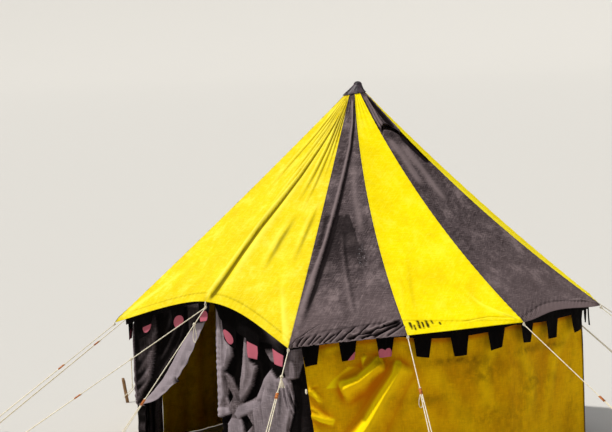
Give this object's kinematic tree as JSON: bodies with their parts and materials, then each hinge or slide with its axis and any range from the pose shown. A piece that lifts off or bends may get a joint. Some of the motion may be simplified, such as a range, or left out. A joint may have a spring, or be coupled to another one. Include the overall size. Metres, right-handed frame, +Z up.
{
  "type": "medieval tent",
  "caption": "Round medieval tent in yellow and black canvas with a conical roof on a centre pole, a dagged valance, hanging walls with an open entrance, and guy lines to stakes.",
  "frame": {"origin": "middle of the centre pole's foot, on the ground", "axes": "+Z up along the centre pole, -Y towards the entrance, +X to the right for someone who faces +Y"},
  "size_m": [10.2751, 10.0759, 4.395],
  "materials": {
    "canvas_yellow": "plain-weave cotton canvas, bright yellow, weathered",
    "canvas_black": "plain-weave cotton canvas, faded black, weathered",
    "cap_leather": "smooth dark leather",
    "pole_wood": "planed softwood, oiled",
    "stake_wood": "split hardwood, weathered",
    "rope_hemp": "laid hemp rope with a wooden slide"
  },
  "bodies": {
    "root": {"roof_panel_entrance": "canvas_yellow", "roof_panel_1": "canvas_black", "roof_panel_2": "canvas_yellow", "roof_panel_3": "canvas_black", "roof_panel_4": "canvas_yellow", "roof_panel_back": "canvas_black", "roof_panel_7": "canvas_yellow", "roof_panel_8": "canvas_black", "roof_panel_9": "canvas_yellow", "roof_panel_10": "canvas_black", "pole_cap": "cap_leather", "centre_pole": "pole_wood", "valance_entrance": "canvas_black", "valance_right": "canvas_black", "valance_back": "canvas_black", "valance_left": "canvas_black", "wall_right": "canvas_yellow", "wall_back": "canvas_black", "wall_left": "canvas_yellow", "entrance_curtain_right": "canvas_black", "entrance_curtain_left": "canvas_black", "guy_line_entrance": "rope_hemp", "guy_line_1": "rope_hemp", "guy_line_2": "rope_hemp", "guy_line_3": "rope_hemp", "guy_line_4": "rope_hemp", "guy_line_5": "rope_hemp", "guy_line_6": "rope_hemp", "guy_line_7": "rope_hemp", "guy_line_8": "rope_hemp", "guy_line_9": "rope_hemp", "guy_line_10": "rope_hemp", "guy_line_11": "rope_hemp", "stake_entrance_1": "stake_wood", "stake_entrance_2": "stake_wood", "stake_1": "stake_wood", "stake_2": "stake_wood", "stake_3": "stake_wood", "stake_4": "stake_wood", "stake_5": "stake_wood", "stake_6": "stake_wood", "stake_7": "stake_wood", "stake_8": "stake_wood", "stake_9": "stake_wood", "stake_10": "stake_wood", "stake_11": "stake_wood"}
  },
  "joints": []
}
